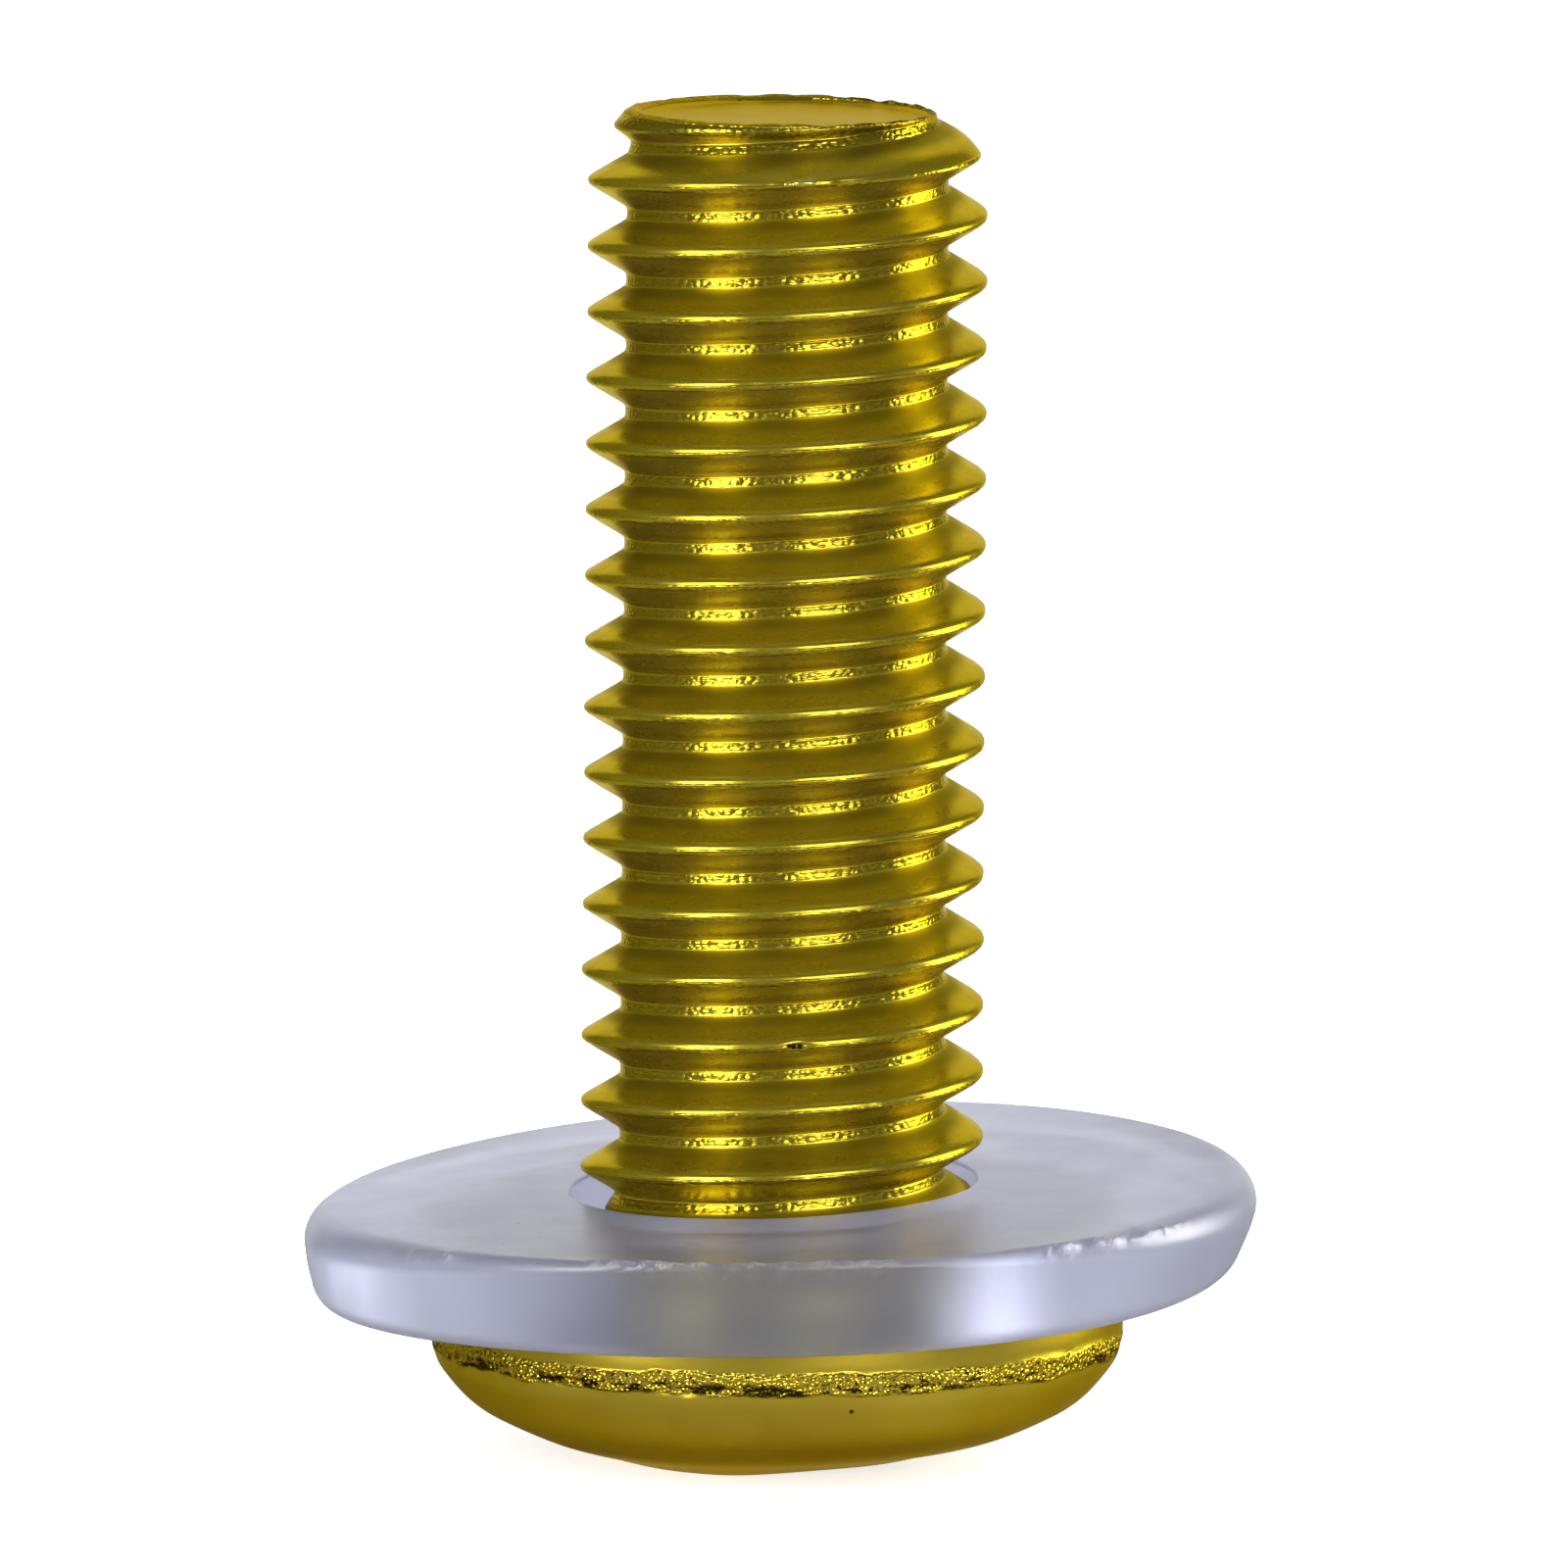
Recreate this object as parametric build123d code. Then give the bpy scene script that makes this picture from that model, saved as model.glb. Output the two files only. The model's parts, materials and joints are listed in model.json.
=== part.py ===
from build123d import *
from math import acos, ceil, cos, radians, sqrt, tan
import os

# A machine screw that stands on its low domed head, with a loose plastic washer lying
# a little askew on the head around the thread. Sizes are in millimetres. The origin is the middle of
# the footing under the head, the screw rises along +Z, and its front faces -Y.

# Thread: right-handed, one start, straight flanks
thread_diameter = 5.97
thread_pitch = 1.0
thread_angle = 60.0             # between its two flanks
crest_width = 0.125
root_width = 0.21
crest_drop = 0.59               # from the tip down to where a crest crosses the +X side

# Shank
shank_length = 18.0             # from the bearing face to the tip
neck_inset = 0.31               # the plain stretch is as wide as the blank, inside the crests
neck_length = 1.35
tip_inset = 0.04                # the end face is this much inside the root of the thread

# Head: a straight rim, a rounded edge and a flatter crown
head_diameter = 10.5
rim_height = 0.28
edge_radius = 1.62
crown_radius = 9.3
footing_diameter = 4.9          # flat ring round the socket, on which the screw stands

# Hexagon socket in the head
socket_width = 4.0              # across its flats
socket_depth = 1.7
socket_turn = 18.0              # from +X to the first corner

# Washer
washer_diameter = 14.5          # at its upper face, which is the wider one
washer_thickness = 1.5
washer_taper = 0.3              # how far the wall draws in towards the lower face
washer_bevel_width = 0.4
washer_bevel_height = 0.4
washer_clearance = 0.225        # between the thread's crest and the bore
washer_gap = 0.01               # between the head's rim and the lower face, where they are closest

# Lie of the washer, in degrees: it leans on the head's rim, low at the front left
tilt_right = 1.9                # the +X side up
tilt_front = 1.4                # the -Y side down

# Sizes of the thread and the shank that follow
thread_radius = thread_diameter / 2
flank_slope = tan(radians(thread_angle / 2))
thread_depth = (thread_pitch - crest_width - root_width) / 2 / flank_slope
root_radius = thread_radius - thread_depth
neck_radius = thread_radius - neck_inset
tip_radius = root_radius - tip_inset

# The crown is part of a ball whose middle lies on the axis, and the rounded edge meets it
# without a corner, on the line through the middles of both
head_radius = head_diameter / 2
footing_radius = footing_diameter / 2
edge_middle = head_radius - edge_radius
crown_rise = sqrt((crown_radius - edge_radius) ** 2 - edge_middle**2)
head_height = rim_height + sqrt(crown_radius**2 - footing_radius**2) - crown_rise

# Heights above the footing, and the bore that the thread passes
neck_top = head_height + neck_length
tip_height = head_height + shank_length
washer_bore_radius = thread_radius + washer_clearance

# The washer's upper face is centred on the screw's axis, and its lower face clears the rim
washer_tilt = acos(cos(radians(tilt_right)) * cos(radians(tilt_front)))
washer_lift = washer_gap + head_radius * tan(washer_tilt)
washer_top = head_height + washer_lift + washer_thickness / cos(washer_tilt)


def head_and_neck():
    """Head and plain neck, in one turn about the axis."""
    dome_top = head_height - rim_height
    share = edge_radius / (crown_radius - edge_radius)
    join = (edge_middle * (1 + share), dome_top - crown_rise * share)
    with BuildPart() as body:
        with BuildSketch(Plane.XZ):
            with BuildLine():
                Polyline((0, neck_top), (0, 0), (footing_radius, 0))
                RadiusArc((footing_radius, 0), join, -crown_radius)
                RadiusArc(join, (head_radius, dome_top), -edge_radius)
                Polyline(
                    (head_radius, dome_top),
                    (head_radius, head_height),
                    (neck_radius, head_height),
                    (neck_radius, neck_top),
                    (0, neck_top),
                )
            make_face()
        revolve(axis=Axis.Z)
    return body.part


def ridge_half_turn():
    """Half a turn of the ridge, from the +X side: sharp, and with its base in the core."""
    sink = root_width / 4
    apex = thread_depth + crest_width / 2 / flank_slope
    base = (apex + sink) * flank_slope
    with BuildPart() as ridge:
        path = Helix(thread_pitch, thread_pitch / 2, root_radius)
        with BuildSketch(Plane(origin=(root_radius, 0, 0), x_dir=(1, 0, 0), z_dir=(0, -1, 0))):
            Polygon(
                (-sink, -base),
                (apex, 0),
                (-sink, base),
                align=None,
            )
        sweep(path=path, is_frenet=True)
    return ridge.part


def threaded_rod():
    """Core with the ridge wound round it, from under the neck's top to past the tip."""
    turns = ceil((tip_height - crest_drop - neck_top) / thread_pitch) + 1
    foot = tip_height - crest_drop - (turns - 1) * thread_pitch
    half_turn = ridge_half_turn()
    ridges = [
        Pos(0, 0, foot + step * thread_pitch / 2) * Rot(0, 0, 180 * step) * half_turn
        for step in range(2 * turns)
    ]
    core_foot = foot - thread_pitch
    core_length = tip_height + thread_pitch - core_foot
    core = Cylinder(root_radius, core_length, align=(Align.CENTER, Align.CENTER, Align.MIN))
    return (Pos(0, 0, core_foot) * core).fuse(*ridges)


def shank_limits():
    """The room that the ridge keeps to: its crest, its run-out and the tip's bevel."""
    with BuildPart() as room:
        with BuildSketch(Plane.XZ):
            Polygon(
                (0, neck_top),
                (neck_radius, neck_top),
                (thread_radius, neck_top + thread_radius - neck_radius),
                (thread_radius, tip_height - thread_radius + tip_radius),
                (tip_radius, tip_height),
                (0, tip_height),
                align=None,
            )
        revolve(axis=Axis.Z)
    return room.part


def socket():
    """Hexagon socket, open at the footing."""
    hexagon = RegularPolygon(socket_width / 2, 6, major_radius=False)
    return extrude(Rot(0, 0, socket_turn) * hexagon, socket_depth)


def screw():
    """Head, neck and threaded shank, which are one piece."""
    shank = threaded_rod() & shank_limits()
    return head_and_neck() + shank - socket()


def washer():
    """Loose washer with a drawn-in wall and a bevel, leaning on the head's rim."""
    lower_radius = washer_diameter / 2 - washer_taper
    with BuildPart() as ring:
        with BuildSketch(Plane.XZ):
            Polygon(
                (washer_bore_radius, -washer_thickness),
                (lower_radius - washer_bevel_width, -washer_thickness),
                (lower_radius, washer_bevel_height - washer_thickness),
                (washer_diameter / 2, 0),
                (washer_bore_radius, 0),
                align=None,
            )
        revolve(axis=Axis.Z)
    return Pos(0, 0, washer_top) * Rot(tilt_front, -tilt_right, 0) * ring.part


os.makedirs("parts", exist_ok=True)
export_step(screw(), "parts/screw.step")
export_step(washer(), "parts/washer.step")
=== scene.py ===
import json
from math import acos, asin, atan2, cos, degrees, pi, radians, sin, sqrt, tan

import bmesh
import bpy
import numpy as np
from mathutils import Matrix, Vector, noise


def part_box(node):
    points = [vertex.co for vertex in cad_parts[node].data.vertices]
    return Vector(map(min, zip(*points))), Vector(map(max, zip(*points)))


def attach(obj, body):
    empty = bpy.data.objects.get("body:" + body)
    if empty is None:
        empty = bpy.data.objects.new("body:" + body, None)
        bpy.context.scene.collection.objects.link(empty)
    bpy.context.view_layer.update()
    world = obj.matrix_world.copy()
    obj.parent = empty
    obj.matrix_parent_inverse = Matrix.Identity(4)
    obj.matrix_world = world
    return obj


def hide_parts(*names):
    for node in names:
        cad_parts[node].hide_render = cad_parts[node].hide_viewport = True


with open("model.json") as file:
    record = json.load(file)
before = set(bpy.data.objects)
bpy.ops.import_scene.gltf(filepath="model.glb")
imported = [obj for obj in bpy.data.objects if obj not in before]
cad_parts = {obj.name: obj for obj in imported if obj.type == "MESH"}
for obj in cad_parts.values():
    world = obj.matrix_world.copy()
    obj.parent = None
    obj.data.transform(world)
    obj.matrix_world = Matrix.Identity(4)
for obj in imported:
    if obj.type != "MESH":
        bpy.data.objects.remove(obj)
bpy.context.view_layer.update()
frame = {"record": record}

# A gold-coloured machine screw that stands on its head, with a loose plastic washer round
# its shank. The frame gives the places, and meshes are made in millimetres.
MM = 0.001

# Upper corners of the boxes round the two solids, and what follows from them
screw_corner = np.array(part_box("screw")[1]) / MM
washer_corner = np.array(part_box("washer")[1]) / MM
mounts = {mount["name"]: mount for mount in frame["record"]["mounts"]}
TIP = screw_corner[2]
HEAD_R = screw_corner[0]
THREAD_R = mounts["thread"]["dims"]["r_mm"]

# Shank, as the solid has it. BEARING is the height of the head's bearing face
SHANK_LENGTH = 18.0
BEARING = TIP - SHANK_LENGTH
NECK_R = THREAD_R - 0.31
NECK_TOP = BEARING + 1.35

# Thread, as the solid has it: right-hand, with an angle between its flanks
PITCH = 1.0
THREAD_ANGLE = 60.0
CREST_WIDTH = 0.125
ROOT_WIDTH = 0.21
CREST_DROP = 0.59               # from the tip down to where a crest crosses the +X side
FLANK_SLOPE = tan(radians(THREAD_ANGLE / 2))
THREAD_DEPTH = (PITCH - CREST_WIDTH - ROOT_WIDTH) / 2 / FLANK_SLOPE
ROOT_R = THREAD_R - THREAD_DEPTH

# How the rolled thread departs from the sharp one
FLANK_RISE = 0.02
CREST_RISE = 0.022
CREST_ROUND = 0.05
ROOT_ROUND = 0.04
SWELL = 0.01                    # more in radius all along the shank
SWELL_PER_MM = 0.0022           # and this much more with each millimetre below the tip
FIRST_TURN_DROP = 0.20          # how much lower the first turn starts
FIRST_TURN_REACH = 0.85
TIP_BEVEL_R = 2.40
TIP_BEVEL_SLOPE = 0.85
TIP_BEVEL_ROUND = 0.06
TIP_BEVEL_SIDE = 2.9            # azimuth in radians where the bevel starts furthest out
TIP_BEVEL_SWAY = 0.03

# Flaws on the crests: azimuth in degrees, height, half-length round the crest, rise
FLAW_HALF_HEIGHT = 0.07
FLAWS = [
    (-86.0, TIP - 13.86, 0.11, -0.13),
    (-88.5, TIP - 13.82, 0.05, 0.05),
    (-85.5, TIP - 0.82, 0.16, 0.12),
    (-79.0, TIP - 0.81, 0.10, 0.08),
    (-92.0, TIP - 0.86, 0.08, 0.05),
    (-100.0, TIP - 3.86, 0.06, -0.03),
    (-60.0, TIP - 14.75, 0.10, 0.03),
    (35.0, TIP - 6.7, 0.12, -0.10),
    (120.0, TIP - 9.3, 0.15, -0.09),
    (165.0, TIP - 4.2, 0.10, -0.07),
    (80.0, TIP - 12.4, 0.12, 0.04),
]

# End face: the cut under its rim, the rim's steps inwards with their rises, and the hollow
RIM_CUT = TIP - 0.06
RIM_STEPS = [(0.03, 0.035), (0.075, 0.05), (0.12, 0.02), (0.17, -0.035), (0.24, -0.05)]
RIM_WIDER_LEFT = 1.2            # how much wider the rim is at the left, as a share
HOLLOW_R = 2.2
HOLLOW_STEP = 0.05
HOLLOW_DISH = 0.02
END_FACE_R = 2.25

# Where the thread's strip is cut and joined to the head, and how far up the head's finish goes
NECK_CUT = BEARING + 0.35
HEAD_FINISH_TOP = BEARING + 0.3

# Head, as the solid has it, with its bearing face a little lower
SEAT_DROP = 0.03
RIM_HEIGHT = 0.28
EDGE_RADIUS = 1.62
CROWN_RADIUS = 9.3
FOOTING_R = 2.45
SOCKET_WIDTH = 4.0
SOCKET_DEPTH = 1.7
SOCKET_TURN = 18.0
SEAT_FILLET = 0.08
RIM_CORNER = 0.06

# The head's own shape: the trimmed band, the swelling under it, a fuller crown and a worn foot
BAND_TOP = BEARING - 0.49
BAND_BOTTOM = BEARING - 0.81
SWELLING_HEIGHT = BEARING - 0.93
SWELLING_RISE = 0.055
SWELLING_SPREAD = 0.22
CROWN_DROP = 0.055
WORN_AZIMUTH = -28.0
WORN_RISE = 0.08

# The head leans on the shank, in degrees about X and Y, and stands off its axis
HEAD_LEAN = (0.6, -0.8)
HEAD_SHIFT = -0.06

# Washer: its lie is the photograph's, and its widest ring stays in the solid's box
WASHER_R = washer_corner[0] - 0.015
WASHER_THICKNESS = 1.48
WASHER_LEAN = (1.7, -2.3)
WASHER_SHIFT = -0.03
WASHER_TOP = BEARING + 1.665
BORE_R = THREAD_R + 0.10
BORE_SHIFT = -0.09
BORE_TOP_ROUND = 0.08
BORE_LOW_ROUND = 0.06
WALL_BULGE = 0.015
LOWER_FACE_DROP = 0.05          # outside the head's rim

# The washer's wall at the front, left and right: how far it draws in, and its edges' radii
WALL_TAPER = (0.34, 0.08, 0.20)
TOP_ROUND = (0.08, 0.50, 0.48)
LOW_ROUND = (0.47, 0.46, 0.60)

# Mesh density: columns round the thread, the head and the washer, rows across one pitch
THREAD_COLUMNS = 160
THREAD_ROWS = 22
HEAD_COLUMNS = 408
WASHER_COLUMNS = 480


def wave(x, y, z, scale, seed):
    """Smooth noise between about -1 and 1, with features of 1 / scale millimetres."""
    return noise.noise(Vector((x * scale + seed * 17.3, y * scale - seed * 9.1, z * scale + seed * 4.7)))


def smooth_step(low, high, x):
    """0 below low, 1 above high, and smooth between them."""
    t = min(max((x - low) / (high - low), 0.0), 1.0)
    return t * t * (3 - 2 * t)


def soft_min(a, b, width):
    """The lower of two values, with the corner between them rounded over a width."""
    return (a + b - sqrt((a - b) ** 2 + width**2)) / 2


def soft_max(a, b, width):
    """The higher of two values, with the corner between them rounded over a width."""
    return (a + b + sqrt((a - b) ** 2 + width**2)) / 2


def thread_radius(phase):
    """Radius of the thread's section. Phase is 0 at the crest and 1 a pitch further up."""
    off_crest = abs((phase + 0.5) % 1.0 - 0.5) * PITCH
    apex = THREAD_R + CREST_WIDTH / 2 / FLANK_SLOPE
    flank = apex + FLANK_RISE - sqrt(off_crest**2 + 0.012**2) / FLANK_SLOPE
    crested = soft_min(flank, THREAD_R + CREST_RISE, CREST_ROUND)
    return soft_max(crested, ROOT_R, ROOT_ROUND)


def crest_phase(azimuth, height):
    """Phase of the thread at a place on the shank."""
    return (height - (TIP - CREST_DROP)) / PITCH - azimuth / (2 * pi)


def shank_radius(azimuth, height):
    """Radius of the shank, with its run-out, the tip's weak first turn and small flaws."""
    radius = thread_radius(crest_phase(azimuth, height))
    x, y = cos(azimuth) * 3, sin(azimuth) * 3
    on_crest = smooth_step(ROOT_R + 0.3, THREAD_R, radius)
    radius += 0.010 * on_crest * wave(x, y, height, 0.9, 1)
    radius += 0.006 * on_crest * wave(x, y, height, 5.0, 2)
    radius += 0.004 * (1 - on_crest) * wave(x, y, height, 3.0, 3)
    below_tip = TIP - height
    radius += SWELL + SWELL_PER_MM * below_tip
    radius -= FIRST_TURN_DROP * (1 - smooth_step(-0.1, FIRST_TURN_REACH, below_tip))
    bevel = TIP_BEVEL_R + TIP_BEVEL_SWAY * cos(azimuth - TIP_BEVEL_SIDE) + TIP_BEVEL_SLOPE * below_tip
    radius = soft_min(radius, bevel, TIP_BEVEL_ROUND)
    grown = smooth_step(NECK_TOP - 0.15, NECK_TOP + 0.3, height)
    radius = NECK_R + (radius - NECK_R) * grown
    for flaw_azimuth, flaw_height, width, rise in FLAWS:
        aside = radians((degrees(azimuth) - flaw_azimuth + 180) % 360 - 180) * THREAD_R
        away = (aside / width) ** 2 + ((height - flaw_height) / FLAW_HALF_HEIGHT) ** 2
        radius += rise * np.exp(-away)
    return radius


def thread_strip(mesh):
    """Helical strip from the neck to past the tip. Its rows follow the thread and are close
    together at the crest and the root."""
    turns = int(TIP - BEARING) + 3
    start = TIP - CREST_DROP - (turns - 1) * PITCH
    columns = turns * THREAD_COLUMNS
    shares = [row / THREAD_ROWS for row in range(THREAD_ROWS)]
    phases = [share - 0.55 * sin(4 * pi * share) / (4 * pi) for share in shares]
    strip = []
    for column in range(columns + 1):
        azimuth = 2 * pi * column / THREAD_COLUMNS
        for phase in phases:
            height = start + PITCH * (column / THREAD_COLUMNS + phase)
            radius = shank_radius(azimuth, height)
            strip.append(mesh.verts.new((radius * cos(azimuth), radius * sin(azimuth), height)))
    for column in range(columns):
        for row in range(THREAD_ROWS):
            low = column * THREAD_ROWS + row
            high = low + 1
            if row == THREAD_ROWS - 1:
                high = (column + THREAD_COLUMNS) * THREAD_ROWS
                if column + THREAD_COLUMNS + 1 > columns:
                    continue
            corners = (low, low + THREAD_ROWS, high + THREAD_ROWS, high)
            mesh.faces.new([strip[corner] for corner in corners])


def cut_loop(mesh, height, keep_below):
    """Cuts the strip level at a height and returns the cut's corners in order of azimuth."""
    everything = mesh.verts[:] + mesh.edges[:] + mesh.faces[:]
    cut = bmesh.ops.bisect_plane(
        mesh,
        geom=everything,
        dist=1e-6,
        plane_co=(0, 0, height),
        plane_no=(0, 0, 1),
        clear_outer=keep_below,
        clear_inner=not keep_below,
    )
    loop = [item for item in cut["geom_cut"] if isinstance(item, bmesh.types.BMVert)]
    return sorted(loop, key=lambda corner: atan2(corner.co.y, corner.co.x))


def join_rings(mesh, first, second):
    """Quads between two rings with as many corners."""
    count = len(first)
    for i in range(count):
        j = (i + 1) % count
        mesh.faces.new((first[i], first[j], second[j], second[i]))


def close_ring(mesh, ring, middle):
    """Fan of triangles from a ring to its middle."""
    centre = mesh.verts.new(middle)
    count = len(ring)
    for i in range(count):
        mesh.faces.new((ring[i], ring[(i + 1) % count], centre))


def end_face(mesh, loop):
    """Hollow end face inside a raised, ragged rim."""
    previous = loop
    for inset, rise in RIM_STEPS:
        ring = []
        for corner in loop:
            azimuth = atan2(corner.co.y, corner.co.x)
            wider = 1 - RIM_WIDER_LEFT * min(cos(azimuth), 0)
            radius = sqrt(corner.co.x**2 + corner.co.y**2) - inset * wider
            x, y = radius * cos(azimuth), radius * sin(azimuth)
            ragged = 1 + 0.7 * wave(x, y, 0, 2.3, 4) + 0.35 * wave(x, y, 0, 7.0, 5)
            ragged -= 0.4 * x / radius
            height = corner.co.z + (rise * ragged if rise > 0 else rise)
            ring.append(mesh.verts.new((x, y, min(height, TIP))))
        join_rings(mesh, previous, ring)
        previous = ring
    floor = loop[0].co.z - HOLLOW_STEP
    for share in (0.85, 0.68, 0.5, 0.33, 0.16):
        ring = []
        for corner in previous:
            x, y = corner.co.x, corner.co.y
            scale = share * HOLLOW_R / sqrt(x * x + y * y)
            x, y = x * scale, y * scale
            level = floor - HOLLOW_DISH * (1 - share**2) + 0.003 * wave(x, y, 0, 1.0, 6)
            ring.append(mesh.verts.new((x, y, level)))
        join_rings(mesh, previous, ring)
        previous = ring
    close_ring(mesh, previous, (0, 0, floor - HOLLOW_DISH))


def head_profile():
    """Radius and height of the head from the neck out to the rim and down to the footing."""
    seat = BEARING - SEAT_DROP
    points = [(NECK_R, BEARING + 0.2), (NECK_R, seat + SEAT_FILLET)]
    for turn in (30, 60, 90):
        bend = radians(turn)
        out, up = SEAT_FILLET * (1 - cos(bend)), SEAT_FILLET * (1 - sin(bend))
        points.append((NECK_R + out, seat + up))
    points += [(3.4, seat), (4.2, seat), (4.9, seat), (HEAD_R - 0.12, seat)]
    for turn in (0, 30, 60, 90):
        bend = radians(turn)
        inwards, down = RIM_CORNER * (1 - sin(bend)), RIM_CORNER * (1 - cos(bend))
        points.append((HEAD_R - inwards, seat - down))
    points.append((HEAD_R, seat - 0.13))
    edge_middle = HEAD_R - EDGE_RADIUS
    dome_top = BEARING - RIM_HEIGHT
    rise = sqrt((CROWN_RADIUS - EDGE_RADIUS) ** 2 - edge_middle**2)
    last = acos(edge_middle / (CROWN_RADIUS - EDGE_RADIUS))
    for step in range(41):
        bend = last * step / 40
        points.append((edge_middle + EDGE_RADIUS * cos(bend), dome_top - EDGE_RADIUS * sin(bend)))
    crown_middle = dome_top + rise
    first = pi / 2 - last
    foot = asin(FOOTING_R / CROWN_RADIUS)
    for step in range(1, 15):
        bend = first + (foot - first) * step / 14
        points.append((CROWN_RADIUS * sin(bend), crown_middle - CROWN_RADIUS * cos(bend)))
    return points


def socket_rows():
    """Half-width and height of the hexagon socket's rows, from its mouth to its floor."""
    half = SOCKET_WIDTH / 2
    rows = [(half + 0.09, 0.0), (half + 0.04, 0.025), (half, 0.09)]
    rows += [(half, SOCKET_DEPTH * share) for share in (0.25, 0.5, 0.75, 0.94)]
    rows += [(half - 0.03, SOCKET_DEPTH * 0.98), (half - 0.1, SOCKET_DEPTH)]
    rows += [(half * share, SOCKET_DEPTH) for share in (0.7, 0.4)]
    return rows


def band_relief(azimuth, radius, height):
    """Relief of the rough trimmed band that runs round the head under its rim."""
    over_bottom = smooth_step(BAND_BOTTOM - 0.05, BAND_BOTTOM + 0.1, height)
    inside = over_bottom * (1 - smooth_step(BAND_TOP - 0.1, BAND_TOP + 0.05, height))
    if inside == 0 or radius < 4.5:
        return 0.0
    x, y = radius * cos(azimuth), radius * sin(azimuth)
    grains = wave(x, y, height * 0.8, 5.5, 7) + 0.8 * wave(x, y, height, 11.0, 8)
    middle = (BAND_TOP + BAND_BOTTOM) / 2 + 0.05 * wave(x, y, 0, 0.7, 9)
    groove = np.exp(-(((height - middle + 0.06) / 0.07) ** 2))
    torn = smooth_step(-0.1, 0.35, wave(x, y, 0, 1.1, 10))
    return inside * (0.022 + 0.022 * grains) - 0.055 * groove * torn * (0.6 + 0.6 * abs(grains))


def worn_lift(azimuth, faded):
    """Lift of the footing where it is worn, at the front right, and none where it has faded."""
    beside = cos(azimuth - radians(WORN_AZIMUTH))
    return WORN_RISE * (smooth_step(0.1, 0.8, beside) * (1 - faded))


def head(mesh):
    """Head and socket. Its columns start at a corner of the hexagon. Returns the neck's ring."""
    azimuths = [radians(SOCKET_TURN) + 2 * pi * i / HEAD_COLUMNS for i in range(HEAD_COLUMNS)]
    rings = []
    for radius, height in head_profile():
        ring = []
        for azimuth in azimuths:
            x, y = radius * cos(azimuth), radius * sin(azimuth)
            relief = band_relief(azimuth, radius, height)
            relief += SWELLING_RISE * np.exp(-(((height - SWELLING_HEIGHT) / SWELLING_SPREAD) ** 2))
            if height < BEARING - 0.9:
                relief += 0.004 * wave(x, y, height, 1.2, 11)
            scale = 1 + relief / radius
            full = smooth_step(2.8, 3.7, radius) * smooth_step(BEARING - 0.5, BEARING - 1.3, height)
            lift = worn_lift(azimuth, smooth_step(FOOTING_R, 4.2, radius)) - CROWN_DROP * full
            ring.append(mesh.verts.new((x * scale, y * scale, height + lift)))
        rings.append(ring)
    sixth = radians(60)
    for half_width, height in socket_rows():
        ring = []
        for azimuth in azimuths:
            within = (azimuth - radians(SOCKET_TURN)) % sixth - sixth / 2
            radius = half_width / cos(within)
            x, y = radius * cos(azimuth), radius * sin(azimuth)
            lift = worn_lift(azimuth, smooth_step(0.0, 0.2, height))
            ring.append(mesh.verts.new((x, y, height + lift)))
        rings.append(ring)
    for first, second in zip(rings, rings[1:]):
        join_rings(mesh, first, second)
    close_ring(mesh, rings[-1], (0, 0, SOCKET_DEPTH))
    return rings[0]


def ring_edges(mesh, ring):
    """Edges between the neighbouring corners of a ring."""
    count = len(ring)
    return [mesh.edges.get((ring[i], ring[(i + 1) % count])) for i in range(count)]


def leaning(degrees_x, degrees_y, size):
    """Turn about X and Y, as a matrix of 3 or 4 rows."""
    about_x = Matrix.Rotation(radians(degrees_x), size, "X")
    return about_x @ Matrix.Rotation(radians(degrees_y), size, "Y")


def lean_head(mesh):
    """The head isn't quite square to the shank, so it leans a little below the neck."""
    lean = leaning(*HEAD_LEAN, 3)
    pivot = Vector((0, 0, BEARING))
    for corner in mesh.verts:
        if corner.co.z < BEARING + 0.01:
            moved = lean @ (corner.co - pivot) + pivot
            corner.co = moved + Vector((HEAD_SHIFT, 0, 0))
    lift = -min(corner.co.z for corner in mesh.verts)
    if lift > 0:
        for corner in mesh.verts:
            corner.co.z += lift * (1 - smooth_step(0.0, BEARING + 0.2, corner.co.z))


def finish_mesh(name, mesh, materials):
    """Turns the mesh into an object in metres, with smooth shading and its materials."""
    bmesh.ops.recalc_face_normals(mesh, faces=mesh.faces[:])
    bmesh.ops.scale(mesh, vec=(MM, MM, MM), verts=mesh.verts[:])
    data = bpy.data.meshes.new(name)
    mesh.to_mesh(data)
    mesh.free()
    data.shade_smooth()
    piece = bpy.data.objects.new(name, data)
    bpy.context.scene.collection.objects.link(piece)
    for material in materials:
        data.materials.append(material)
    return piece


def make_screw(materials):
    """The whole screw as one closed mesh. The head takes the second material."""
    mesh = bmesh.new()
    thread_strip(mesh)
    neck_loop = cut_loop(mesh, NECK_CUT, keep_below=False)
    tip_loop = cut_loop(mesh, RIM_CUT, keep_below=True)
    end_face(mesh, tip_loop)
    neck_ring = head(mesh)
    bmesh.ops.bridge_loops(mesh, edges=ring_edges(mesh, neck_loop) + ring_edges(mesh, neck_ring))
    for face in mesh.faces:
        middle = face.calc_center_median()
        on_rim = middle.z > RIM_CUT - 0.001
        on_end = middle.z > TIP - 0.2 and middle.xy.length < END_FACE_R
        if middle.z < HEAD_FINISH_TOP or on_rim or on_end:
            face.material_index = 1
    lean_head(mesh)
    return finish_mesh("dressed_screw", mesh, materials)


def lower_drop(radius, height):
    """How much lower the washer's lower side is outside the head's rim."""
    return LOWER_FACE_DROP * smooth_step(5.3, 6.1, radius) * smooth_step(-0.9, -1.4, height)


def blend(values, shares):
    """Blend of values by their shares."""
    return sum(value * share for value, share in zip(values, shares))


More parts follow.
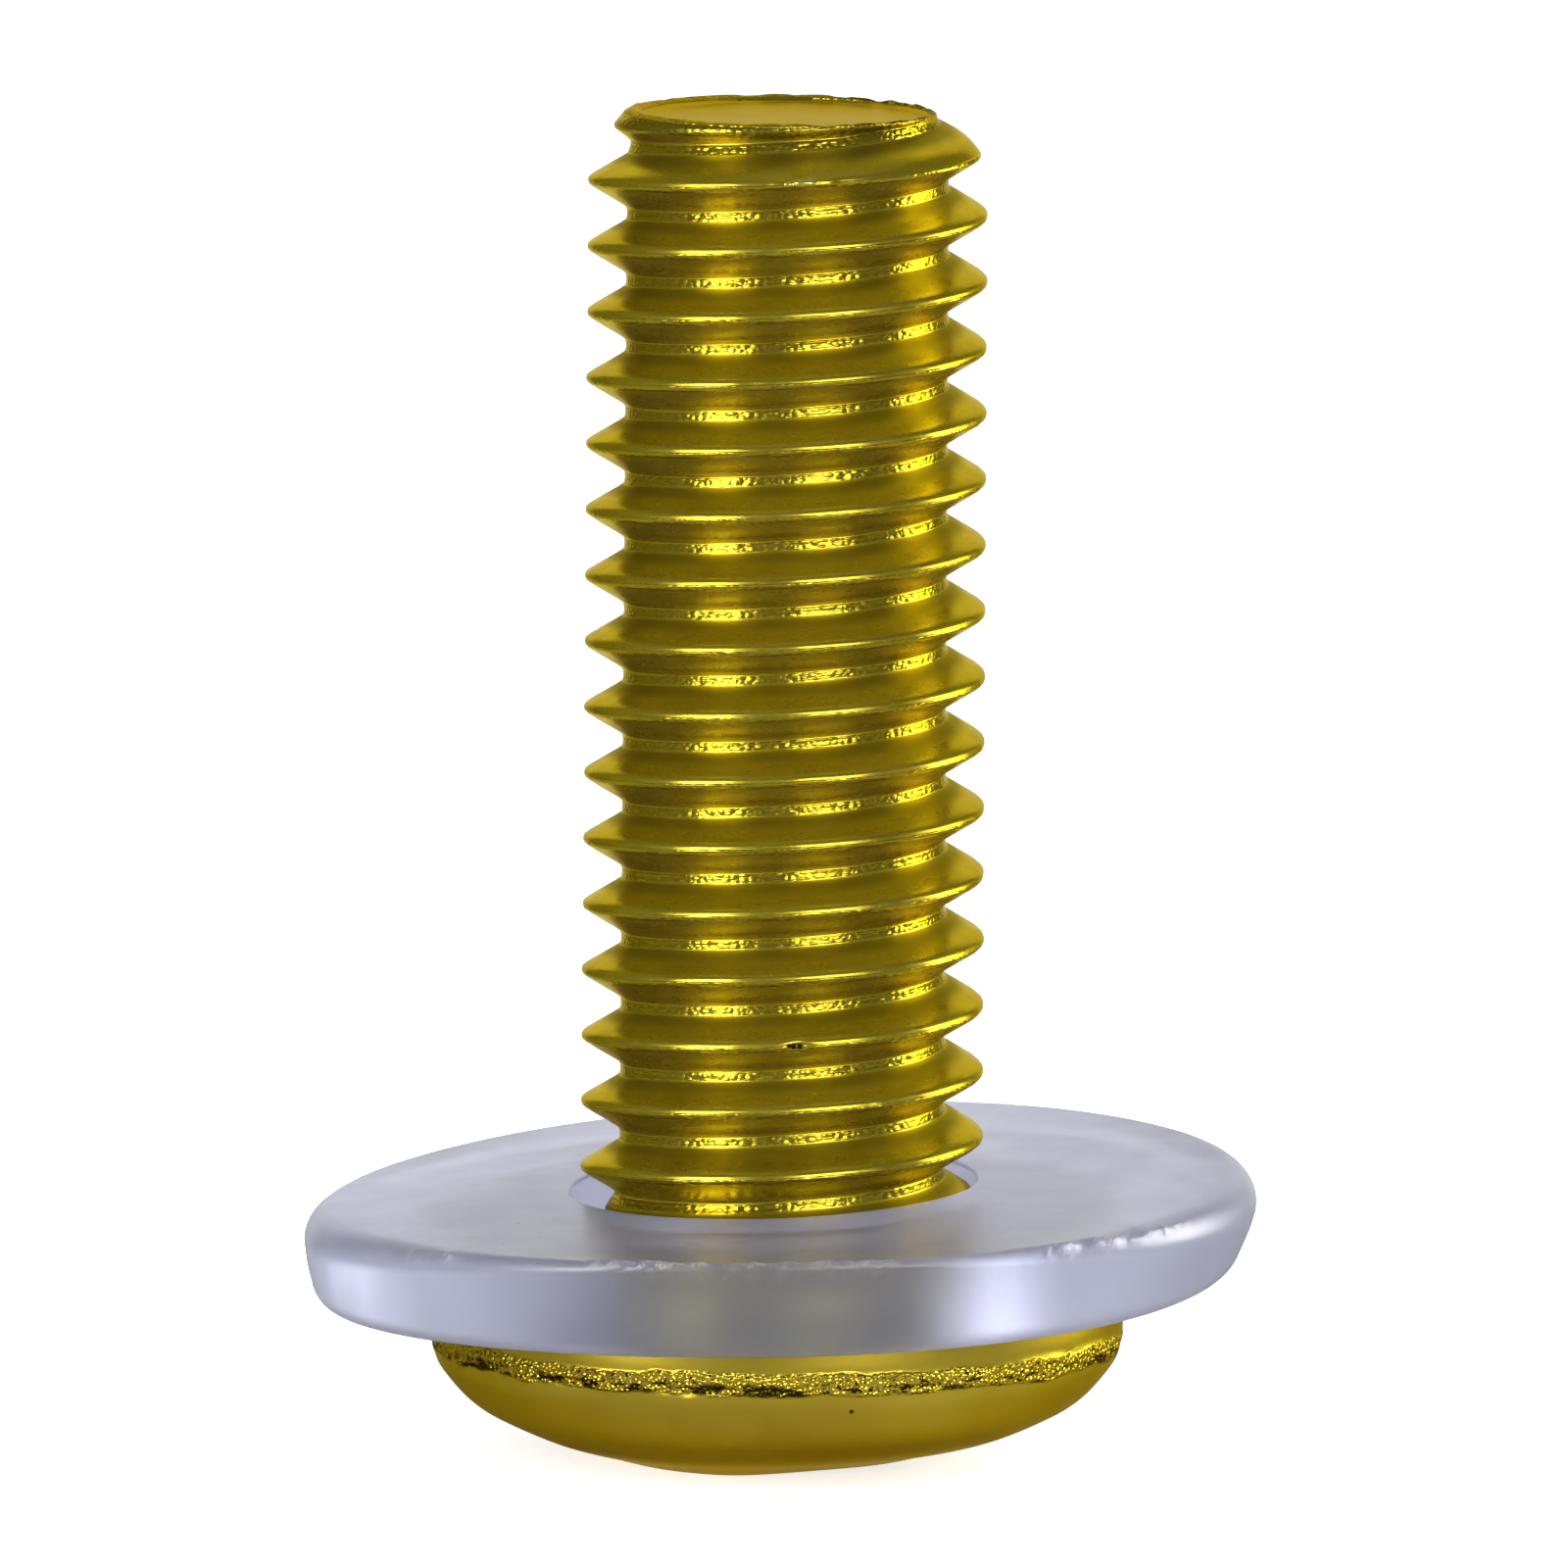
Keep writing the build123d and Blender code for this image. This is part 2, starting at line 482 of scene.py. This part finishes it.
def washer_section(azimuth):
    """Radii and heights of the washer's section, from its lower edge up, over and down the bore."""
    x, y = cos(azimuth), sin(azimuth)
    left, right = max(-x, 0.0) ** 2, max(x, 0.0) ** 2
    sides = (1 - left - right, left, right)
    outer = WASHER_R - 0.012 * (1 + wave(x, y, 0, 1.2, 21))
    taper = blend(WALL_TAPER, sides)
    top_round = blend(TOP_ROUND, sides) + 0.015 * wave(x, y, 0, 2.5, 22)
    low_round = blend(LOW_ROUND, sides) + 0.02 * wave(x, y, 0, 1.6, 23)
    bottom = -WASHER_THICKNESS
    low_x, low_z = outer - taper - low_round, bottom + low_round
    top_x, top_z = outer - top_round, -top_round
    apart = sqrt((top_x - low_x) ** 2 + (top_z - low_z) ** 2)
    lean = acos((low_round - top_round) / apart) - atan2(top_z - low_z, top_x - low_x)
    points = []
    for step in range(11):
        bend = -pi / 2 + (pi / 2 - lean) * step / 10
        points.append((low_x + low_round * cos(bend), low_z + low_round * sin(bend)))
    wall_foot = points[-1]
    wall_head = (top_x + top_round * cos(lean), top_z - top_round * sin(lean))
    for step in range(1, 10):
        share = step / 10
        radius = wall_foot[0] + (wall_head[0] - wall_foot[0]) * share + WALL_BULGE * sin(pi * share)
        points.append((radius, wall_foot[1] + (wall_head[1] - wall_foot[1]) * share))
    for step in range(11):
        bend = -lean + (pi / 2 + lean) * step / 10
        points.append((top_x + top_round * cos(bend), top_z + top_round * sin(bend)))
    face = outer - top_round
    for share in (0.02, 0.05, 0.09, 0.15, 0.22, 0.3, 0.4, 0.5, 0.6, 0.7, 0.8, 0.88, 0.94):
        points.append((face + (BORE_R + BORE_TOP_ROUND + 0.01 - face) * share, 0.0))
    for turn in (0, 20, 40, 60, 80, 90):
        bend = radians(turn)
        out, down = BORE_TOP_ROUND * (1 - sin(bend)), BORE_TOP_ROUND * (1 - cos(bend))
        points.append((BORE_R + out, -down))
    straight = WASHER_THICKNESS - BORE_TOP_ROUND - BORE_LOW_ROUND
    for share in (0.25, 0.5, 0.75):
        points.append((BORE_R, -BORE_TOP_ROUND - straight * share))
    for turn in (0, 30, 60, 90):
        bend = radians(turn)
        out, up = BORE_LOW_ROUND * (1 - cos(bend)), BORE_LOW_ROUND * (1 - sin(bend))
        points.append((BORE_R + out, bottom + up))
    inner = BORE_R + BORE_LOW_ROUND
    for share in (0.2, 0.4, 0.6, 0.8, 0.95):
        points.append((inner + (low_x - inner) * share, bottom))
    return [(radius, height - lower_drop(radius, height)) for radius, height in points]


def washer_warp(x, y):
    """How far the plastic is bent up or down at a place, outside the head's rim."""
    x, y = x / 7, y / 7
    reach = smooth_step(0.35, 1.0, sqrt(x * x + y * y))
    return reach * (0.12 * x * y - 0.06 * x * x + 0.05 * x**3)


def torn_edge(azimuth, radius, height):
    """How far the punched upper edge is torn up at a place."""
    x, y = radius * cos(azimuth), radius * sin(azimuth)
    near = np.exp(-(((radius - WASHER_R + 0.10) / 0.09) ** 2)) * smooth_step(-0.35, -0.04, height)
    front = smooth_step(0.35, 0.85, -sin(azimuth))
    torn = front * smooth_step(0.0, 0.35, wave(x, y, 0, 0.55, 26) + 0.25)
    frays = 0.045 * wave(x, y, height, 4.5, 27) + 0.03 * wave(x, y, height, 11.0, 28)
    return near * torn * (0.025 + frays)


def make_washer(material):
    """Loose washer, askew as it lies on the head."""
    mesh = bmesh.new()
    torn_layer = mesh.verts.layers.float.new("torn")
    rings = []
    for column in range(WASHER_COLUMNS):
        azimuth = 2 * pi * column / WASHER_COLUMNS
        ring = []
        for radius, height in washer_section(azimuth):
            burr = torn_edge(azimuth, radius, height)
            out = radius + burr * 0.4
            x, y = out * cos(azimuth), out * sin(azimuth)
            x += BORE_SHIFT * (1 - smooth_step(BORE_R, WASHER_R - 1.5, radius))
            dent = 0.008 * wave(x, y, 0, 0.45, 24) if height > -0.7 else 0.0
            corner = mesh.verts.new((x, y, height + burr + dent + washer_warp(x, y)))
            corner[torn_layer] = min(1.0, max(0.0, burr * 25))
            ring.append(corner)
        rings.append(ring)
    for first, second in zip(rings, rings[1:] + rings[:1]):
        count = len(first)
        for i in range(count):
            j = (i + 1) % count
            mesh.faces.new((first[i], second[i], second[j], first[j]))
    place = Matrix.Translation((WASHER_SHIFT, 0, WASHER_TOP)) @ leaning(*WASHER_LEAN, 4)
    bmesh.ops.transform(mesh, matrix=place, verts=mesh.verts[:])
    return finish_mesh("dressed_washer", mesh, [material])


class Nodes:
    """Short way to write a material's nodes."""

    def __init__(self, name):
        self.material = bpy.data.materials.new(name)
        self.material.use_nodes = True
        self.tree = self.material.node_tree
        self.shader = self.tree.nodes["Principled BSDF"]
        self.output = self.tree.nodes["Material Output"]

    def add(self, kind, inputs=(), **settings):
        """Adds a node, with its settings and its inputs as values or as other sockets."""
        node = self.tree.nodes.new(kind)
        for key, value in settings.items():
            setattr(node, key, value)
        for key, value in dict(inputs).items():
            self.put(value, node.inputs[key])
        return node

    def put(self, value, socket):
        """Gives a socket a value, or links another socket to it."""
        if isinstance(value, bpy.types.NodeSocket):
            self.tree.links.new(value, socket)
        else:
            socket.default_value = value

    def math(self, operation, a, b=0.0, clamp=False):
        """A Math node's result."""
        node = self.add("ShaderNodeMath", {0: a, 1: b}, operation=operation, use_clamp=clamp)
        return node.outputs[0]

    def span(self, value, low, high, to_low=0.0, to_high=1.0):
        """Maps a value from one span to another, smoothly and clamped."""
        node = self.add(
            "ShaderNodeMapRange",
            {"Value": value, "From Min": low, "From Max": high, "To Min": to_low, "To Max": to_high},
            interpolation_type="SMOOTHSTEP",
        )
        return node.outputs["Result"]

    def zone(self, value, start, full, fading, end):
        """1 from full to fading, 0 before start and after end, and smooth between them."""
        return self.math("MULTIPLY", self.span(value, start, full), self.span(value, end, fading))

    def mix(self, share, first, second):
        """A blend of two colours."""
        node = self.add("ShaderNodeMix", data_type="RGBA")
        self.put(share, node.inputs[0])
        self.put(first, node.inputs[6])
        self.put(second, node.inputs[7])
        return node.outputs[2]

    def noise(self, vector, scale, detail=3.0, roughness=0.55):
        """Noise between 0 and 1."""
        inputs = {"Vector": vector, "Scale": scale, "Detail": detail, "Roughness": roughness}
        return self.add("ShaderNodeTexNoise", inputs).outputs["Fac"]

    def dots(self, vector):
        """Small round grains, one to each unit of the place: 1 at their middles."""
        grains = self.add("ShaderNodeTexVoronoi", {"Vector": vector, "Scale": 1.0}).outputs["Distance"]
        return self.math("SUBTRACT", 1.0, grains)

    def specks(self, a, b, spots):
        """1 in small spots of a place with two coordinates, and 0 outside them."""
        here, found = self.vector(a, b, 0.0), 0.0
        for spot_a, spot_b, radius in spots:
            ends = {0: here, 1: (spot_a, spot_b, 0.0)}
            away = self.add("ShaderNodeVectorMath", ends, operation="DISTANCE").outputs["Value"]
            found = self.math("MAXIMUM", found, self.span(away, radius * 1.2, radius * 0.7))
        return found

    def bump(self, height, distance, normal=None):
        """Bump in metres, on top of another normal if there is one."""
        inputs = {"Height": height, "Distance": distance, "Strength": 1.0}
        if normal is not None:
            inputs["Normal"] = normal
        return self.add("ShaderNodeBump", inputs).outputs["Normal"]

    def place(self):
        """Object coordinates in millimetres, and their parts."""
        source = self.add("ShaderNodeTexCoord").outputs["Object"]
        factors = {0: source, 1: (1000, 1000, 1000)}
        scaled = self.add("ShaderNodeVectorMath", factors, operation="MULTIPLY").outputs[0]
        parts = self.add("ShaderNodeSeparateXYZ", {0: scaled}).outputs
        return scaled, parts[0], parts[1], parts[2]

    def stretched(self, x, y, level, along, across):
        """A place with its own scale along the thread and across it."""
        along_x, along_y = self.math("MULTIPLY", x, along), self.math("MULTIPLY", y, along)
        return self.vector(along_x, along_y, self.math("MULTIPLY", level, across))

    def vector(self, x, y, z):
        """A vector from three numbers or sockets."""
        return self.add("ShaderNodeCombineXYZ", {0: x, 1: y, 2: z}).outputs[0]


# Colours of the metal: flanks and dome, painted light for the lower flanks and lumps, painted shade by
# and in the roots and on the bevel, and a dark colour for dirt and painted shade
GOLD = (0.49, 0.385, 0.030, 1)
GOLD_DEEP = (0.44, 0.340, 0.024, 1)
GOLD_PAINTED_LIGHT = (0.58, 0.500, 0.090, 1)
GOLD_PAINTED_SHADE = (0.27, 0.220, 0.018, 1)
GOLD_HEAD = (0.54, 0.400, 0.038, 1)
GOLD_HEAD_DEEP = (0.49, 0.355, 0.031, 1)
GOLD_ROOT_PAINTED_SHADE = (0.35, 0.275, 0.018, 1)
GOLD_GRIME_AND_SHADE = (0.035, 0.025, 0.003, 1)

# Colours of the nylon, and a painted highlight for its torn edge
NYLON = (0.49, 0.505, 0.65, 1)
NYLON_PALE = (0.535, 0.55, 0.695, 1)
NYLON_PAINTED_HIGHLIGHT = (0.86, 0.87, 0.95, 1)
NYLON_SPECK = (0.03, 0.03, 0.04, 1)

# Spots, each as two coordinates and a radius: x and y on the washer, x and z on the screw
WASHER_SPECKS = [
    (-3.95, -2.82, 0.028),
    (-4.16, -4.65, 0.022),
    (-3.6, -3.74, 0.018),
    (6.88, -3.29, 0.025),
    (-5.44, -0.56, 0.015),
]
HEAD_SPECKS = [(1.07, 1.4, 0.035)]
# The lumps are painted lighter, and the nicks take painted shade
THREAD_LUMPS = [(0.17, TIP - 0.84, 0.11), (0.33, TIP - 0.83, 0.10), (0.02, TIP - 0.87, 0.07)]
THREAD_NICKS = [(0.10, TIP - 13.84, 0.035), (0.17, TIP - 13.85, 0.05), (0.26, TIP - 13.85, 0.045)]


def metal_base(nodes, metallic, edge):
    """What all of the screw's metal has in common."""
    nodes.shader.inputs["Metallic"].default_value = metallic
    nodes.shader.inputs["IOR"].default_value = 1.5
    nodes.shader.inputs["Specular Tint"].default_value = edge


def thread_metal():
    """Rolled thread: satin flanks, and grainy lines along its roots and under its crests.

    Above is 0 at a crest, about 0.5 at the root over it and 1 at the next crest."""
    nodes = Nodes("rolled_gold_thread")
    metal_base(nodes, 0.93, (0.72, 0.59, 0.08, 1))
    place, x, y, z = nodes.place()
    around = nodes.math("ARCTAN2", x, nodes.math("MULTIPLY", y, -1.0))
    climb = nodes.math("MULTIPLY", around, PITCH / (2 * pi))
    level = nodes.math("SUBTRACT", z, climb)
    crest_level = TIP - CREST_DROP - PITCH / 4
    above = nodes.math("FRACT", nodes.math("DIVIDE", nodes.math("SUBTRACT", level, crest_level), PITCH))
    drift = nodes.noise(nodes.stretched(x, y, level, 0.5, 0.5), 1.0, 1.0)
    above = nodes.math("ADD", above, nodes.math("MULTIPLY", nodes.math("SUBTRACT", drift, 0.5), 0.05))
    before_root = nodes.zone(above, 0.20, 0.34, 0.38, 0.42)
    in_root = nodes.zone(above, 0.40, 0.45, 0.525, 0.565)
    past_root = nodes.zone(above, 0.58, 0.64, 0.90, 0.94)
    under_crest = nodes.zone(above, 0.88, 0.92, 0.97, 1.0)
    rough_zone = nodes.math("MAXIMUM", in_root, nodes.math("MULTIPLY", under_crest, 0.9))
    on_bevel = nodes.span(z, TIP - 0.26, TIP - 0.20)
    in_front = nodes.span(y, 0.0, -1.0)
    on_lump = nodes.math("MULTIPLY", nodes.specks(x, z, THREAD_LUMPS), in_front)
    in_nick = nodes.math("MULTIPLY", nodes.specks(x, z, THREAD_NICKS), in_front)

    stains = nodes.noise(place, 0.9, 2.0)
    colour = nodes.mix(nodes.span(stains, 0.35, 0.7), GOLD, GOLD_DEEP)
    # Painted light: the lower flanks, which face down, are lighter and greener
    colour = nodes.mix(past_root, colour, GOLD_PAINTED_LIGHT)
    # Painted shade on the upper flanks, just below the roots
    colour = nodes.mix(before_root, colour, GOLD_PAINTED_SHADE)
    # Painted shade in the roots
    colour = nodes.mix(in_root, colour, GOLD_ROOT_PAINTED_SHADE)
    # Painted shade on the tip's bevel
    colour = nodes.mix(on_bevel, colour, GOLD_PAINTED_SHADE)
    # Painted highlight on the lumps near the tip
    colour = nodes.mix(on_lump, colour, GOLD_PAINTED_LIGHT)
    # Painted shade in the nicks
    nodes.put(nodes.mix(in_nick, colour, GOLD_GRIME_AND_SHADE), nodes.shader.inputs["Base Color"])

    soft = nodes.noise(nodes.stretched(x, y, level, 2.0, 5.0), 1.0, 2.0)
    satin = nodes.span(soft, 0.3, 0.7, 0.24, 0.30)
    rough = nodes.math("SUBTRACT", satin, nodes.math("MULTIPLY", rough_zone, 0.08))
    rough = nodes.math("ADD", rough, nodes.math("MULTIPLY", before_root, 0.16))
    nodes.put(rough, nodes.shader.inputs["Roughness"])

    lines = nodes.noise(nodes.stretched(x, y, level, 0.5, 20.0), 1.0, 2.0)
    dots = nodes.dots(nodes.stretched(x, y, level, 9.0, 13.0))
    lined = nodes.math("MAXIMUM", rough_zone, nodes.math("MULTIPLY", past_root, 0.22))
    dotted = nodes.math("MAXIMUM", rough_zone, nodes.math("MULTIPLY", on_bevel, 0.8))
    dotted = nodes.math("MAXIMUM", dotted, on_lump)
    normal = nodes.bump(nodes.math("MULTIPLY", lines, lined), 0.016 * MM)
    normal = nodes.bump(nodes.math("MULTIPLY", dots, dotted), 0.014 * MM, normal)
    nodes.put(normal, nodes.shader.inputs["Normal"])
    return nodes.material


def head_metal():
    """Headed metal: a satin dome and a rough, pitted band under the rim."""
    nodes = Nodes("headed_gold")
    metal_base(nodes, 0.97, (0.64, 0.51, 0.05, 1))
    place, x, y, z = nodes.place()
    flat = nodes.vector(x, y, 0.0)
    out = nodes.add("ShaderNodeVectorMath", {0: flat}, operation="LENGTH").outputs["Value"]
    wander = nodes.span(nodes.noise(place, 1.2, 3.0), 0.3, 0.7, -0.04, 0.04)
    level = nodes.math("ADD", z, wander)
    in_band = nodes.zone(level, BAND_BOTTOM - 0.04, BAND_BOTTOM + 0.01, BAND_TOP - 0.05, BAND_TOP + 0.02)
    band = nodes.math("MULTIPLY", in_band, nodes.span(out, 4.3, 4.6))
    foot = nodes.math("MULTIPLY", band, nodes.span(level, BAND_BOTTOM + 0.17, BAND_BOTTOM + 0.11))
    grains = nodes.dots(nodes.stretched(x, y, z, 12.0, 15.0))
    fine = nodes.noise(place, 30.0, 3.0, 0.6)
    stains = nodes.noise(place, 0.7, 4.0)
    dashes = nodes.noise(nodes.stretched(x, y, z, 3.0, 10.0), 1.0, 3.0)
    # Dark dashes along the band's foot: dirt, and painted shade under the torn band
    patches = nodes.span(nodes.noise(place, 0.6, 1.0), 0.35, 0.65, 0.06, -0.04)
    grime_and_shade = nodes.math("MULTIPLY", nodes.span(nodes.math("ADD", dashes, patches), 0.50, 0.57), foot)
    # Painted shade in the band's pits
    pit_shade = nodes.math("MULTIPLY", nodes.span(nodes.noise(place, 13.0, 2.0), 0.58, 0.66), band)
    colour = nodes.mix(nodes.span(stains, 0.35, 0.7), GOLD_HEAD, GOLD_HEAD_DEEP)
    # Painted shadow in the gaps of the ragged rim at the tip, which takes this material
    burr = nodes.math("MULTIPLY", nodes.span(z, TIP - 0.07, TIP - 0.035), nodes.span(x, 0.3, 1.4))
    burr = nodes.math("MULTIPLY", burr, nodes.span(nodes.noise(place, 5.0, 3.0), 0.42, 0.52))
    speck = nodes.math("MULTIPLY", nodes.specks(x, z, HEAD_SPECKS), nodes.span(y, 0.0, -1.0))
    # All the dark marks together: dirt, the dome's speck, and the painted shade above
    dirt_and_shade = nodes.math("MAXIMUM", nodes.math("MAXIMUM", grime_and_shade, pit_shade), burr)
    dirt_and_shade = nodes.math("MAXIMUM", dirt_and_shade, speck)
    colour = nodes.mix(dirt_and_shade, colour, GOLD_GRIME_AND_SHADE)
    nodes.put(colour, nodes.shader.inputs["Base Color"])
    satin = nodes.span(fine, 0.3, 0.7, 0.30, 0.36)
    rough = nodes.math("SUBTRACT", satin, nodes.math("MULTIPLY", band, 0.10))
    nodes.put(rough, nodes.shader.inputs["Roughness"])
    rough_zone = nodes.math("MAXIMUM", band, nodes.span(z, TIP - 0.07, TIP - 0.04))
    normal = nodes.bump(nodes.math("MULTIPLY", grains, rough_zone), 0.040 * MM)
    normal = nodes.bump(fine, 0.001 * MM, normal)
    nodes.put(normal, nodes.shader.inputs["Normal"])
    return nodes.material


def nylon():
    """Lavender-grey nylon: translucent, satin, and painted whitish where its edge is torn, as a
    highlight.
    """
    nodes = Nodes("lavender_nylon")
    place, x, y, z = nodes.place()
    shader = nodes.shader
    shader.inputs["IOR"].default_value = 1.5
    shader.inputs["Specular IOR Level"].default_value = 0.35
    shader.inputs["Transmission Weight"].default_value = 0.88
    clouds = nodes.noise(place, 0.35, 2.0)
    colour = nodes.mix(nodes.span(clouds, 0.3, 0.7), NYLON, NYLON_PALE)
    torn = nodes.add("ShaderNodeAttribute", attribute_name="torn").outputs["Fac"]
    # Painted highlight: whitish colour on the torn edge
    torn_highlight = nodes.math("MULTIPLY", torn, nodes.span(nodes.noise(place, 6.0, 3.0), 0.4, 0.6), clamp=True)
    colour = nodes.mix(torn_highlight, colour, NYLON_PAINTED_HIGHLIGHT)
    colour = nodes.mix(nodes.specks(x, y, WASHER_SPECKS), colour, NYLON_SPECK)
    nodes.put(colour, shader.inputs["Base Color"])
    smudge = nodes.noise(place, 1.1, 4.0)
    nodes.put(nodes.span(smudge, 0.3, 0.7, 0.31, 0.37), shader.inputs["Roughness"])
    normal = nodes.bump(nodes.noise(place, 3.0, 4.0), 0.004 * MM)
    normal = nodes.bump(nodes.math("MULTIPLY", nodes.noise(place, 9.0, 3.0), torn), 0.06 * MM, normal)
    nodes.put(normal, shader.inputs["Normal"])
    return nodes.material


# Surroundings, in millimetres. The screens stand to both sides of the viewer, in degrees
FLOOR_REACH = 4000
BACKDROP_REACH = 900
BACKDROP_AWAY = 700
BACKDROP_LEFT_HEIGHT = 380
BACKDROP_RIGHT_HEIGHT = 1000
SKY = (0.36, 0.36, 0.37, 1)
SCREEN_REACH = 152
SCREENS = [
    ("pale_screen", [(3.3, 0.05), (9, 0.3)], 0.78),
    ("grey_screen", [(9, 0.3), (45, 0.3)], 0.52),
    ("dark_screen", [(45, 0.3), (110, 0.3), (110, 220)], 0.24),
]

# Lamps: name, azimuth from the viewer to the right, radiance. They light, and metal doesn't show them
LAMPS = [("left", -53, 5.0), ("right", 25, 3.0), ("rear", 116, 7.0)]
LAMP_AWAY = 300
LAMP_ELEVATION = 20
LAMP_SIZE = (170, 190)

# Strips: name, azimuth, distance, width, radiance. Metal shows them, and they don't light
STRIPS = [("left", -46, 60, 26, 9.0), ("right", 25, 85, 46, 7.5), ("rear", 106, 60, 30, 8.0)]
STRIP_ELEVATION = 10
STRIP_HEIGHT = 36


def pale_material(name, seen_glow, mirrored_glow):
    """Plain pale sheet, white to the camera and pale in reflections, that keeps a shadow."""
    nodes = Nodes(name)
    shader = nodes.shader
    shader.inputs["Base Color"].default_value = (0.86, 0.86, 0.87, 1)
    shader.inputs["Roughness"].default_value = 0.9
    shader.inputs["Specular IOR Level"].default_value = 0.0
    path = nodes.add("ShaderNodeLightPath")
    mirrored = nodes.math("MAXIMUM", path.outputs["Is Glossy Ray"], path.outputs["Is Transmission Ray"])
    strength = nodes.math(
        "ADD",
        nodes.math("MULTIPLY", path.outputs["Is Camera Ray"], seen_glow),
        nodes.math("MULTIPLY", mirrored, mirrored_glow),
    )
    glow = nodes.add("ShaderNodeEmission", {"Color": (1, 1, 1, 1), "Strength": strength})
    both = nodes.add("ShaderNodeAddShader", {0: shader.outputs[0], 1: glow.outputs[0]})
    nodes.put(both.outputs[0], nodes.output.inputs["Surface"])
    return nodes.material


def card_material(name, shade):
    """Matt card of the screens that keep the front dark in the metal's reflections."""
    nodes = Nodes(name)
    nodes.shader.inputs["Base Color"].default_value = (shade, shade, shade, 1)
    nodes.shader.inputs["Roughness"].default_value = 0.9
    nodes.shader.inputs["Specular IOR Level"].default_value = 0.0
    return nodes.material


def plain_sheet(name, corners, material):
    """Sheet with flat faces between pairs of corners, in millimetres."""
    mesh = bmesh.new()
    rows = [[mesh.verts.new([value * MM for value in corner]) for corner in row] for row in corners]
    for first, second in zip(rows, rows[1:]):
        for i in range(len(first) - 1):
            mesh.faces.new((first[i], first[i + 1], second[i + 1], second[i]))
    data = bpy.data.meshes.new(name)
    mesh.to_mesh(data)
    mesh.free()
    sheet = bpy.data.objects.new(name, data)
    bpy.context.scene.collection.objects.link(sheet)
    data.materials.append(material)
    return sheet


def ring_screen(name, rings, shade):
    """Matt screen round the front, through rings of a radius and a height, that only metal shows."""
    turns = [radians(turn) for turn in range(-SCREEN_REACH, SCREEN_REACH + 1, 8)]
    rows = []
    for radius, height in rings:
        rows.append([(radius * sin(turn), -radius * cos(turn), height) for turn in turns])
    screen = plain_sheet(name, rows, card_material(name, shade))
    screen.visible_camera = False
    screen.visible_diffuse = False
    screen.visible_shadow = False
    screen.visible_transmission = False
    return screen


def make_surroundings():
    """Pale floor and backdrop, and screens that keep the front dark in the metal."""
    edge = FLOOR_REACH
    front, rear = [(-edge, -edge, 0), (edge, -edge, 0)], [(-edge, edge, 0), (edge, edge, 0)]
    floor = plain_sheet("floor", [front, rear], pale_material("pale_floor", 0.72, 0.35))
    side, away = BACKDROP_REACH, BACKDROP_AWAY
    foot = [(-side, away, 0), (side, away, 0)]
    top = [(-side, away, BACKDROP_LEFT_HEIGHT), (side, away, BACKDROP_RIGHT_HEIGHT)]
    back = plain_sheet("backdrop", [foot, top], pale_material("pale_backdrop", 0.9, 0.8))
    under, near, far = (ring_screen(name, rings, shade) for name, rings, shade in SCREENS)


def make_sky():
    """Even grey surroundings above the floor."""
    world = bpy.data.worlds.new("surroundings")
    world.use_nodes = True
    world.node_tree.nodes["Background"].inputs["Color"].default_value = SKY
    world.node_tree.nodes["Background"].inputs["Strength"].default_value = 1.0
    bpy.context.scene.world = world


def upright_lamp(name, azimuth, distance, elevation, size, radiance):
    """Upright lamp that faces the screw. Azimuth is from the viewer, to the right."""
    width, height = size[0] * MM, size[1] * MM
    lamp = bpy.data.lights.new(name, "AREA")
    lamp.shape = "RECTANGLE"
    lamp.size, lamp.size_y = width, height
    lamp.energy = radiance * pi * width * height
    obj = bpy.data.objects.new(name, lamp)
    bpy.context.scene.collection.objects.link(obj)
    turn, rise = radians(azimuth), radians(elevation)
    away = Vector((sin(turn) * cos(rise), -cos(turn) * cos(rise), sin(rise)))
    obj.location = (away * distance + Vector((0, 0, 8))) * MM
    obj.rotation_euler = away.to_track_quat("Z", "Y").to_euler()
    obj.visible_camera = False
    return obj


def make_lights():
    """Lamps for an even light, and near strips that stand as stripes in the metal."""
    for name, azimuth, radiance in LAMPS:
        lamp = upright_lamp(name + "_lamp", azimuth, LAMP_AWAY, LAMP_ELEVATION, LAMP_SIZE, radiance)
        lamp.visible_glossy = False
    for name, azimuth, distance, width, radiance in STRIPS:
        size = (width, STRIP_HEIGHT)
        strip = upright_lamp(name + "_strip", azimuth, distance, STRIP_ELEVATION, size, radiance)
        strip.visible_diffuse = False
        strip.visible_transmission = False


# The camera: as far away and as high as the photograph's, and turned a touch about its view
CAMERA_AWAY = 350.0
CAMERA_HEIGHT = 54.15
AIM_HEIGHT = 10.23
ROLL = 0.37                     # in degrees
PIXELS_PER_MM = 67.5            # in the photograph, at the screw's axis
PICTURE = 1600                  # width of the photograph in pixels
SENSOR = 36.0


def make_camera():
    """Camera at the photograph's viewing angle."""
    data = bpy.data.cameras.new("camera")
    camera = bpy.data.objects.new("camera", data)
    bpy.context.scene.collection.objects.link(camera)
    place = Vector((0, -CAMERA_AWAY, CAMERA_HEIGHT))
    aim = Vector((0, 0, AIM_HEIGHT))
    away = place - aim
    turn = away.to_track_quat("Z", "Y").to_matrix().to_4x4() @ Matrix.Rotation(radians(ROLL), 4, "Z")
    camera.matrix_world = Matrix.Translation(place * MM) @ turn
    data.sensor_width = SENSOR
    data.lens = PIXELS_PER_MM * away.length * SENSOR / PICTURE
    data.clip_start = 0.02
    data.clip_end = 20.0
    bpy.context.scene.camera = camera


screw = make_screw([thread_metal(), head_metal()])
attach(screw, "root")
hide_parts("screw")

washer = make_washer(nylon())
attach(washer, "root")
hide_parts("washer")

make_surroundings()
make_sky()
make_lights()
make_camera()
bpy.context.scene.view_settings.view_transform = "Standard"
